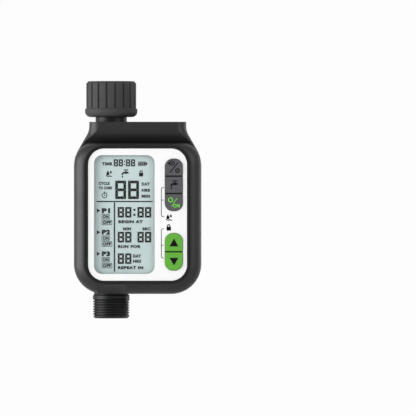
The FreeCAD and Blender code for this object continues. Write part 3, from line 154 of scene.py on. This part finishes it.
def metal(name, rgb, rough, lines=(1, 1, 40), vary=0.1):
    """Drawn or turned metal, with fine lines along one way."""
    look = Look(name, rough, metal=1.0)
    streak = look.noise(250, detail=4, where=look.stretched(lines))
    look.paint(look.ramp(streak, [(0.25, shade(rgb, 1 - vary)), (0.75, shade(rgb, 1 + vary * 0.5))]))
    look.roughness(look.spread(streak, rough - 0.07, rough + 0.1))
    look.bump(streak, 0.000004)
    return look.material


def rubber(name, rgb, rough=0.75, vary=0.1):
    """Moulded rubber: matte, with a soft bloom and a very fine grain."""
    look = Look(name, rough, specular=0.35)
    bloom = look.noise(120, detail=6, rough=0.65)
    look.paint(look.ramp(bloom, [(0.3, shade(rgb, 1 - vary)), (0.75, shade(rgb, 1 + vary))]))
    look.roughness(look.spread(bloom, rough - 0.05, rough + 0.12))
    look.bump(look.noise(2400, detail=2), 0.000006)
    return look.material


def clear(name):
    """The window: clear, hard coated, with a very faint smear of handling."""
    look = Look(name, 0.08)
    look.shader.inputs["Alpha"].default_value = 0.04
    look.shader.inputs["IOR"].default_value = 1.49
    haze = look.noise(60, detail=5)
    look.paint(look.ramp(haze, [(0.3, (0.16, 0.17, 0.17, 1)), (0.7, (0.2, 0.21, 0.21, 1))]))
    look.roughness(look.spread(haze, 0.05, 0.12))
    return look.material


def display(name):
    """The display's reflective film: pale blue-green with a fine diffuser grain."""
    look = Look(name, 0.55, specular=0.2)
    wide = look.noise(25, detail=2)
    look.paint(look.ramp(wide, [(0.3, colour(155, 169, 169)), (0.7, colour(164, 178, 178))]))
    look.roughness(look.spread(look.noise(900, detail=2), 0.5, 0.62))
    look.bump(look.noise(3000, detail=1), 0.000003)
    return look.material


def ink(name, rgb, rough=0.5):
    """Printed or etched marks, a little uneven in density."""
    look = Look(name, rough, specular=0.08)
    dense = look.noise(700, detail=4)
    look.paint(look.ramp(dense, [(0.3, shade(rgb, 0.8)), (0.7, shade(rgb, 1.15))]))
    look.roughness(look.spread(dense, rough - 0.05, rough + 0.1))
    return look.material


def board(name):
    """Circuit board: solder resist over faint tracks and weave."""
    look = Look(name, 0.35)
    weave = look.add("ShaderNodeTexWave", wave_type="BANDS", bands_direction="X")
    weave.inputs["Scale"].default_value = 420
    weave.inputs["Distortion"].default_value = 2.5
    look.join(look.place, weave.inputs["Vector"])
    look.paint(look.ramp(weave.outputs["Fac"], [(0.3, (0.012, 0.11, 0.035, 1)),
                                               (0.8, (0.03, 0.2, 0.07, 1))]))
    look.bump(weave.outputs["Fac"], 0.00002)
    return look.material


CELL_FOOT = -0.147
CELL_HEAD = -0.095
DARK_SHARE = 0.78


def cell_wrap(name):
    """Battery sleeve: dark film with one copper-coloured end."""
    look = Look(name, 0.3)
    split = look.add("ShaderNodeSeparateXYZ")
    look.join(look.place, split.inputs["Vector"])
    height = look.add("ShaderNodeMapRange")
    height.inputs["From Min"].default_value = CELL_FOOT
    height.inputs["From Max"].default_value = CELL_HEAD
    look.join(split.outputs["Z"], height.inputs["Value"])
    look.paint(look.ramp(height.outputs["Result"], [(0.0, (0.02, 0.022, 0.025, 1)),
                                                    (DARK_SHARE, (0.03, 0.032, 0.036, 1)),
                                                    (DARK_SHARE + 0.02, (0.5, 0.24, 0.08, 1))]))
    look.roughness(look.spread(look.noise(300), 0.22, 0.38))
    return look.material


BLACK = colour(23, 23, 24)
looks = {
    "housing_plastic": moulded("housing_plastic", BLACK, 0.42, grain=1100, depth=0.000012,
                               specular=0.25),
    "nut_plastic": moulded("nut_plastic", colour(53, 53, 53), 0.6, grain=1000, depth=0.000012,
                           specular=0.05),
    "pipe_plastic": moulded("pipe_plastic", colour(14, 15, 15), 0.4, grain=1300, depth=0.000008,
                            specular=0.16),
    "panel_plastic": moulded("panel_plastic", colour(194, 194, 194), 0.4, grain=1500,
                             depth=0.000004, vary=0.01),
    "clear_window": clear("clear_window"),
    "lcd_glass": display("lcd_glass"),
    "inner_plastic": moulded("inner_plastic", colour(80, 80, 80), 0.5),
    "valve_plastic": moulded("valve_plastic", colour(150, 152, 154), 0.5, grain=700,
                             depth=0.00002),
    "gear_plastic": moulded("gear_plastic", colour(232, 229, 218), 0.38, vary=0.04),
    "seat_plastic": moulded("seat_plastic", colour(240, 240, 236), 0.3, vary=0.03),
    "key_rubber_grey": rubber("key_rubber_grey", colour(59, 59, 61), 0.62),
    "key_rubber_green": rubber("key_rubber_green", colour(69, 132, 31), 0.6, vary=0.05),
    "carbon_contact": rubber("carbon_contact", colour(28, 28, 28), 0.8),
    "seal_rubber": rubber("seal_rubber", colour(30, 30, 31), 0.7),
    "screw_steel": metal("screw_steel", (0.6, 0.6, 0.62), 0.3),
    "bright_metal": metal("bright_metal", (0.72, 0.72, 0.74), 0.22),
    "ball_metal": metal("ball_metal", (0.78, 0.78, 0.8), 0.12, lines=(1, 30, 30), vary=0.05),
    "motor_steel": metal("motor_steel", (0.62, 0.62, 0.62), 0.3, lines=(1, 30, 30)),
    "gear_brass": metal("gear_brass", (0.75, 0.56, 0.25), 0.25),
    "board_laminate": board("board_laminate"),
    "chip_plastic": moulded("chip_plastic", colour(38, 38, 40), 0.5),
    "cell_wrap": cell_wrap("cell_wrap"),
    "lead_insulation": rubber("lead_insulation", colour(170, 30, 24), 0.45),
}
for entry in frame["record"]["subparts"]:
    slots = nodes[entry["node"]].data.materials
    slots.clear()
    slots.append(looks[entry["material_slot"]])

black_ink = ink("black_ink", colour(4, 5, 5))
green_ink = ink("green_ink", colour(98, 196, 44))
line_ink = ink("line_ink", colour(70, 72, 72))


# Marks. Flat shapes, each a closed loop of (x, z) millimetres, made as thin solid meshes that
# stand on a surface facing forward.

PRINT = 0.04
LETTER_SIZE = 10
LETTER_WEIGHT = 0.72
LETTER_SPACING = 1.14


def mesh_from_curve(curve):
    """The curve's evaluated surface as a mesh of its own."""
    holder = bpy.data.objects.new("holder", curve)
    bpy.context.scene.collection.objects.link(holder)
    bpy.context.view_layer.update()
    solid = holder.evaluated_get(bpy.context.evaluated_depsgraph_get())
    mesh = bpy.data.meshes.new_from_object(solid)
    bpy.data.objects.remove(holder)
    return mesh


def flat_mesh(loops):
    """Fills closed loops, holes included, and gives the sheet the thickness of a print."""
    curve = bpy.data.curves.new("flat", "CURVE")
    curve.dimensions = "2D"
    curve.fill_mode = "BOTH"
    curve.extrude = PRINT / 2
    for loop in loops:
        spline = curve.splines.new("POLY")
        spline.points.add(len(loop) - 1)
        for point, (x, z) in zip(spline.points, loop):
            point.co = (x, z, 0, 1)
        spline.use_cyclic_u = True
    return mesh_from_curve(curve)


def text_mesh(words, left, right, low, high):
    """Words fitted into a rectangle."""
    curve = bpy.data.curves.new("words", "FONT")
    curve.body = words
    curve.size = LETTER_SIZE
    curve.offset = LETTER_WEIGHT
    curve.space_character = LETTER_SPACING
    curve.resolution_u = 3
    curve.extrude = PRINT / 2
    mesh = mesh_from_curve(curve)
    spots = [vertex.co for vertex in mesh.vertices]
    start = [min(spot[axis] for spot in spots) for axis in (0, 1)]
    end = [max(spot[axis] for spot in spots) for axis in (0, 1)]
    for vertex in mesh.vertices:
        vertex.co.x = left + (vertex.co.x - start[0]) / (end[0] - start[0]) * (right - left)
        vertex.co.y = low + (vertex.co.y - start[1]) / (end[1] - start[1]) * (high - low)
    return mesh


def mark(name, meshes, front, body, material):
    """Joins flat meshes into one piece that stands on a surface at y = front metres."""
    joined = bpy.data.meshes.new(name)
    vertices = []
    faces = []
    for mesh in meshes:
        first = len(vertices)
        for vertex in mesh.vertices:
            vertices.append((vertex.co.x * MM, front - (vertex.co.z + PRINT / 2) * MM,
                             vertex.co.y * MM))
        faces += [tuple(first + index for index in face.vertices) for face in mesh.polygons]
    joined.from_pydata(vertices, [], faces)
    joined.validate()
    joined.materials.append(material)
    piece = bpy.data.objects.new(name, joined)
    bpy.context.scene.collection.objects.link(piece)
    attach(piece, body)
    return piece


# Outlines in millimetres, x to the right and z upwards from the inlet's mouth.

def block(left, right, low, high):
    return [(left, low), (right, low), (right, high), (left, high)]


def disc(x, z, radius, sides=28):
    step = 2 * math.pi / sides
    return [(x + radius * math.cos(i * step), z + radius * math.sin(i * step))
            for i in range(sides)]


def rounded_block(left, right, low, high, radius, steps=6):
    loop = []
    corners = [(right - radius, high - radius, 0), (left + radius, high - radius, 90),
               (left + radius, low + radius, 180), (right - radius, low + radius, 270)]
    for x, z, turn in corners:
        for i in range(steps + 1):
            angle = math.radians(turn + 90 * i / steps)
            loop.append((x + radius * math.cos(angle), z + radius * math.sin(angle)))
    return loop


def stroke(x0, z0, x1, z1, width):
    """A straight line of a width."""
    length = math.hypot(x1 - x0, z1 - z0)
    dx = (x1 - x0) / length * width / 2
    dz = (z1 - z0) / length * width / 2
    return [(x0 + dz, z0 - dx), (x1 + dz, z1 - dx), (x1 - dz, z1 + dx), (x0 - dz, z0 + dx)]


def drop(x, low, height):
    """A water drop standing on its round end."""
    radius = height * 0.31
    centre = low + radius
    steps = 24
    loop = []
    for i in range(steps + 1):
        angle = math.radians(150 + 240 * i / steps)
        loop.append((x + radius * math.cos(angle), centre + radius * math.sin(angle)))
    loop.append((x + radius * 0.18, low + height * 0.86))
    loop.append((x, low + height))
    loop.append((x - radius * 0.18, low + height * 0.86))
    return loop


def sheets(*shapes):
    """One flat mesh per shape; a shape is a list of loops."""
    return [flat_mesh(shape) for shape in shapes]


def numeral(left, right, low, high, weight, gap=0.05):
    """All seven segments of one display numeral, mitred where they meet."""
    half = weight / 2
    middle = (low + high) / 2
    shapes = [[[(left + weight + gap, middle + half), (right - weight - gap, middle + half),
                (right - half - gap, middle), (right - weight - gap, middle - half),
                (left + weight + gap, middle - half), (left + half + gap, middle)]]]
    for z, inward in ((high, -1), (low, 1)):
        shapes.append([[(left + gap, z), (right - gap, z),
                        (right - weight - gap, z + inward * weight),
                        (left + weight + gap, z + inward * weight)]])
        for x, across in ((left, 1), (right, -1)):
            shapes.append([[(x, z + inward * gap), (x + across * weight, z + inward * (weight + gap)),
                            (x + across * weight, middle - inward * (half + gap)),
                            (x + across * half, middle - inward * gap),
                            (x, middle - inward * gap)]])
    return sheets(*shapes)


def pair(left, right, low, high, weight, share=0.46):
    """Two display numerals side by side."""
    width = (right - left) * share
    return (numeral(left, left + width, low, high, weight)
            + numeral(right - width, right, low, high, weight))


def colon(x, low, high, radius):
    third = (high - low) * 0.24
    middle = (low + high) / 2
    return sheets([disc(x, middle - third, radius)], [disc(x, middle + third, radius)])


def drops_icon(left, right, low, high):
    """Two drops of rain over wet ground."""
    width = right - left
    height = high - low
    shapes = [[drop(left + width * 0.34, low + height * 0.24, height * 0.74)],
              [drop(left + width * 0.82, low + height * 0.52, height * 0.48)]]
    for start, end, level in ((0.0, 0.2, 0.14), (0.2, 0.5, 0.02), (0.5, 0.8, 0.08), (0.8, 1, 0.02)):
        z = low + height * level
        shapes.append([block(left + width * start, left + width * end, z, z + height * 0.15)])
    return sheets(*shapes)


def tap_icon(left, right, low, high):
    """A garden tap with its handle and one drop falling."""
    width = right - left
    height = high - low

    def x(share):
        return left + width * share

    def z(share):
        return low + height * share

    spout = [(x(0), z(0.3)), (x(0.22), z(0.3)), (x(0.24), z(0.44)), (x(0.34), z(0.5)),
             (x(0.45), z(0.5)), (x(0.5), z(0.44)), (x(0.74), z(0.44)), (x(0.78), z(0.5)),
             (x(1), z(0.5)), (x(1), z(0.7)), (x(0.78), z(0.7)), (x(0.7), z(0.78)),
             (x(0.52), z(0.78)), (x(0.45), z(0.72)), (x(0.2), z(0.68)), (x(0.04), z(0.54))]
    stem = block(x(0.56), x(0.66), z(0.76), z(0.88))
    handle = rounded_block(x(0.28), x(0.94), z(0.87), z(1), height * 0.05)
    return sheets([spout], [stem], [handle], [drop(x(0.12), z(-0.03), height * 0.32)])


def lock_icon(left, right, low, high):
    """A padlock: a solid case under an arch."""
    width = right - left
    split = low + (high - low) * 0.6
    case = rounded_block(left, right, low, split, width * 0.08)
    radius = width * 0.36
    thick = width * 0.22
    centre = (left + right) / 2
    top = high - radius
    foot = split + 0.05
    steps = 12
    arch = []
    for i in range(steps + 1):
        angle = math.pi * i / steps
        arch.append((centre + radius * math.cos(angle), top + radius * math.sin(angle)))
    arch.append((centre - radius, foot))
    arch.append((centre - radius + thick, foot))
    for i in range(steps + 1):
        angle = math.pi * (1 - i / steps)
        inner = radius - thick
        arch.append((centre + inner * math.cos(angle), top + inner * math.sin(angle)))
    arch.append((centre + radius - thick, foot))
    arch.append((centre + radius, foot))
    return sheets([case], [arch])


def battery_icon(left, right, low, high):
    """A cell lying down with its charge bars and its tip."""
    width = right - left
    middle = (low + high) / 2
    shapes = []
    for i in range(4):
        start = left + width * (0.02 + 0.2 * i)
        shapes.append([block(start, start + width * 0.16, low + 0.55, high - 0.55)])
    shapes.append([block(left, left + width * 0.8, high - 0.42, high)])
    shapes.append([block(left, left + width * 0.8, low, low + 0.42)])
    shapes.append([[(left + width * 0.8, low), (right, middle), (left + width * 0.8, high)]])
    return sheets(*shapes)


def stopwatch_icon(left, right, low, high):
    radius = (right - left) / 2
    x = left + radius
    z = low + radius
    return sheets([disc(x, z, radius), disc(x, z, radius - 0.58)],
                  [block(x - 0.45, x + 0.45, z + radius + 0.1, high)],
                  [stroke(x, z, x, z + radius * 0.6, 0.42)], [disc(x, z, 0.4)],
                  [stroke(x + radius * 0.75, z + radius * 0.85, x + radius * 1.0, z + radius * 1.1,
                          0.5)])


def switch_icon(left, right, low, high, words):
    """A small frame with a word in it."""
    outer = rounded_block(left, right, low, high, 0.5)
    inner = rounded_block(left + 0.4, right - 0.4, low + 0.4, high - 0.4, 0.3)
    return (sheets([outer, inner])
            + [text_mesh(words, left + 0.75, right - 0.75, low + 0.62, high - 0.62)])


def ring(x, z, radius, weight):
    return [disc(x, z, radius), disc(x, z, radius - weight)]


# The display, in millimetres, on the glass behind the window.

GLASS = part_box("lcd_glass")[0].y
CLOCK_ROW = (-60.5, -55.4)
CLOCK_HOURS = (2.1, 8.7)
CLOCK_MINUTES = (10.8, 17.4)
CLOCK_WEIGHT = 1.0
COUNT_ROW = (-84.0, -70.7)
COUNT_DIGITS = (3.1, 20.2)
COUNT_WEIGHT = 2.0
FIRST_DIGITS = (4.9, 14.8)
SECOND_DIGITS = (19.1, 29.0)
BEGIN_ROW = (-97.3, -89.7)
RUN_ROW = (-115.2, -107.5)
REPEAT_ROW = (-130.6, -123.0)
DIGIT_WEIGHT = 1.42

screen = []
screen += [text_mesh("TIME", -6.4, 0.9, -59.8, -57.6)]
screen += pair(*CLOCK_HOURS, *CLOCK_ROW, CLOCK_WEIGHT)
screen += pair(*CLOCK_MINUTES, *CLOCK_ROW, CLOCK_WEIGHT)
screen += colon(9.75, *CLOCK_ROW, 0.42)
screen += battery_icon(19.5, 26.4, -60.1, -57.1)
screen += drops_icon(-3.6, 0.7, -68.2, -63.2)
screen += tap_icon(7.7, 12.8, -68.5, -62.7)
screen += lock_icon(20.2, 23.2, -67.7, -63.3)
screen += [text_mesh("CYCLE", -8.7, -0.9, -73.8, -71.6)]
screen += [text_mesh("TO COME", -8.7, 0.7, -77.1, -74.9)]
screen += stopwatch_icon(-6.6, -2.6, -83.4, -78.6)
screen += pair(*COUNT_DIGITS, *COUNT_ROW, COUNT_WEIGHT)
for words, high in (("DAY", -72.0), ("HRS", -76.5), ("MIN", -80.8)):
    screen += [text_mesh(words, 22.1, 28.1, high - 2.3, high)]
screen += sheets([block(-10.4, 30.0, -86.2, -85.3)], [block(2.1, 3.1, -136.1, -86.3)])

PROGRAMMES = 3
PROGRAMME_TOP = -90.5
PROGRAMME_STEP = 15.5
for row in range(PROGRAMMES):
    top = PROGRAMME_TOP - PROGRAMME_STEP * row
    screen += [text_mesh("P%d" % (row + 1), -6.5, -0.5, top - 3.6, top)]
    screen += sheets([[(-10.4, top - 0.2), (-7.6, top - 1.8), (-10.4, top - 3.4),
                       (-9.9, top - 1.8)]])
    screen += switch_icon(-6.6, -0.9, top - 7.95, top - 4.2, "ON")
    screen += switch_icon(-6.6, 0.9, top - 12.15, top - 8.45, "OFF")

screen += pair(*FIRST_DIGITS, *BEGIN_ROW, DIGIT_WEIGHT)
screen += pair(*SECOND_DIGITS, *BEGIN_ROW, DIGIT_WEIGHT)
screen += colon(16.95, *BEGIN_ROW, 0.85)
screen += [text_mesh("BEGIN AT", 5.4, 23.0, -101.4, -99.1)]
screen += [text_mesh("MIN", 8.8, 14.5, -106.5, -104.3)]
screen += [text_mesh("SEC", 22.6, 28.5, -106.5, -104.3)]
screen += pair(*FIRST_DIGITS, *RUN_ROW, DIGIT_WEIGHT)
screen += pair(*SECOND_DIGITS, *RUN_ROW, DIGIT_WEIGHT)
screen += [text_mesh("RUN FOR", 5.1, 21.6, -119.2, -117.0)]
screen += pair(*FIRST_DIGITS, *REPEAT_ROW, DIGIT_WEIGHT)
screen += [text_mesh("DAY", 15.9, 21.8, -126.1, -123.7)]
screen += [text_mesh("HRS", 15.9, 21.8, -129.8, -127.5)]
screen += [text_mesh("REPEAT IN", 5.1, 23.3, -134.4, -132.2)]
mark("lcd_segments", screen, GLASS, "root", black_ink)

# Marks printed on the panel: two brackets that tie keys together, and two symbols.

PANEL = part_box("face_panel")[0].y


BRACKET = (36.3, 38.3)


def bracket(left, right, low, high, tick, weight=0.56):
    """A square bracket with round corners, open to the right, with one tick."""
    bend = 1.2
    steps = 8
    shapes = [[block(left - weight / 2, left + weight / 2, low + bend, high - bend)],
              [block(left + bend, right, high - weight / 2, high + weight / 2)],
              [block(left + bend, right, low - weight / 2, low + weight / 2)],
              [block(left + weight / 2, right - 0.4, tick - weight / 2, tick + weight / 2)]]
    for z, turn in ((high - bend, 90), (low + bend, 180)):
        arc = []
        for radius, order in ((bend + weight / 2, range(steps + 1)),
                              (bend - weight / 2, range(steps, -1, -1))):
            for i in order:
                angle = math.radians(turn + 90 * i / steps)
                arc.append((left + bend + radius * math.cos(angle), z + radius * math.sin(angle)))
        shapes.append([arc])
    return sheets(*shapes)


brackets = bracket(*BRACKET, -96.6, -75.7, -84.7) + bracket(*BRACKET, -126.3, -105.4, -117.2)
mark("panel_brackets", brackets, PANEL, "root", line_ink)
symbols = drops_icon(39.5, 43.9, -99.7, -94.6) + lock_icon(40.0, 43.2, -106.6, -102.0)
mark("panel_symbols", symbols, PANEL, "root", black_ink)


# Marks on the keys, which ride with them.

def key_front(name):
    """How far forward a key's face stands, in metres."""
    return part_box(name)[0].y


mode = sheets(ring(44.0, -58.2, 1.9, 0.6), [disc(44.0, -58.2, 0.65)],
              [[(40.6, -58.3), (42.6, -56.9), (42.6, -59.6)]],
              [stroke(42.4, -65.0, 48.3, -57.6, 0.7)],
              ring(47.9, -63.5, 1.75, 0.55), ring(47.9, -63.5, 0.85, 0.4))
mark("legend_mode", mode, key_front("key_mode"), "key_mode", black_ink)
mark("legend_tap", tap_icon(42.8, 48.1, -76.8, -70.6), key_front("key_tap"), "key_tap", black_ink)
on_off = sheets(ring(42.9, -84.6, 1.7, 0.45), [stroke(43.4, -89.4, 47.7, -83.3, 0.3)],
                ring(46.0, -88.8, 1.2, 0.38), [stroke(47.7, -90.0, 47.7, -87.6, 0.38)],
                [stroke(49.3, -90.0, 49.3, -87.6, 0.38)], [stroke(47.8, -87.7, 49.2, -89.9, 0.36)])
mark("legend_on_off", on_off, key_front("key_on_off"), "key_on_off", green_ink)
mark("legend_up", sheets([[(42.2, -118.0), (48.5, -118.0), (45.35, -112.2)]]),
     key_front("key_up"), "key_up", black_ink)
mark("legend_down", sheets([[(42.2, -126.2), (45.35, -131.7), (48.5, -126.2)]]),
     key_front("key_down"), "key_down", black_ink)


# Studio: floor, world, lights and camera.

def floor_material():
    look = Look("floor", 0.85, specular=0.1)
    look.paint(look.ramp(look.noise(6), [(0.3, (0.74, 0.74, 0.74, 1)),
                                         (0.7, (0.78, 0.78, 0.78, 1))]))
    return look.material


def floor(level, reach):
    mesh = bpy.data.meshes.new("floor")
    mesh.from_pydata([(-reach, -reach, level), (reach, -reach, level), (reach, reach, level),
                      (-reach, reach, level)], [], [(0, 1, 2, 3)])
    mesh.materials.append(floor_material())
    item = bpy.data.objects.new("floor", mesh)
    bpy.context.scene.collection.objects.link(item)


def light(name, place, target, size, watts):
    """A soft rectangular lamp that faces a target."""
    data = bpy.data.lights.new(name, "AREA")
    data.shape = "RECTANGLE"
    data.size, data.size_y = size
    data.energy = watts
    item = bpy.data.objects.new(name, data)
    item.location = place
    item.rotation_euler = (Vector(target) - Vector(place)).to_track_quat("-Z", "Y").to_euler()
    bpy.context.scene.collection.objects.link(item)


FLOOR_LEVEL = -0.35
FLOOR_REACH = 2
MIDDLE = (0.02, 0, -0.08)
floor(FLOOR_LEVEL, FLOOR_REACH)
light("key", (-0.3, -1.3, 1.2), MIDDLE, (0.8, 0.8), 4)
light("left_edge", (-1.0, -0.36, -0.12), MIDDLE, (1.1, 1.0), 28)
light("right_fill", (0.9, -0.75, 0.2), MIDDLE, (0.5, 0.5), 4)
light("right_edge", (0.9, 0.7, -0.2), MIDDLE, (0.2, 0.8), 2)

world = bpy.data.worlds.new("studio")
world.use_nodes = True
world.node_tree.nodes["Background"].inputs["Color"].default_value = (1, 1, 1, 1)
world.node_tree.nodes["Background"].inputs["Strength"].default_value = 0.98
bpy.context.scene.world = world
bpy.context.scene.view_settings.view_transform = "Standard"

EYE = (0.0698, -7.2, -0.0904)
SENSOR = 36
LENS = 864
camera = bpy.data.cameras.new("camera")
camera.sensor_width = SENSOR
camera.lens = LENS
camera.clip_end = 30
viewer = bpy.data.objects.new("camera", camera)
viewer.location = EYE
viewer.rotation_euler = (math.radians(90), 0, 0)
bpy.context.scene.collection.objects.link(viewer)
bpy.context.scene.camera = viewer
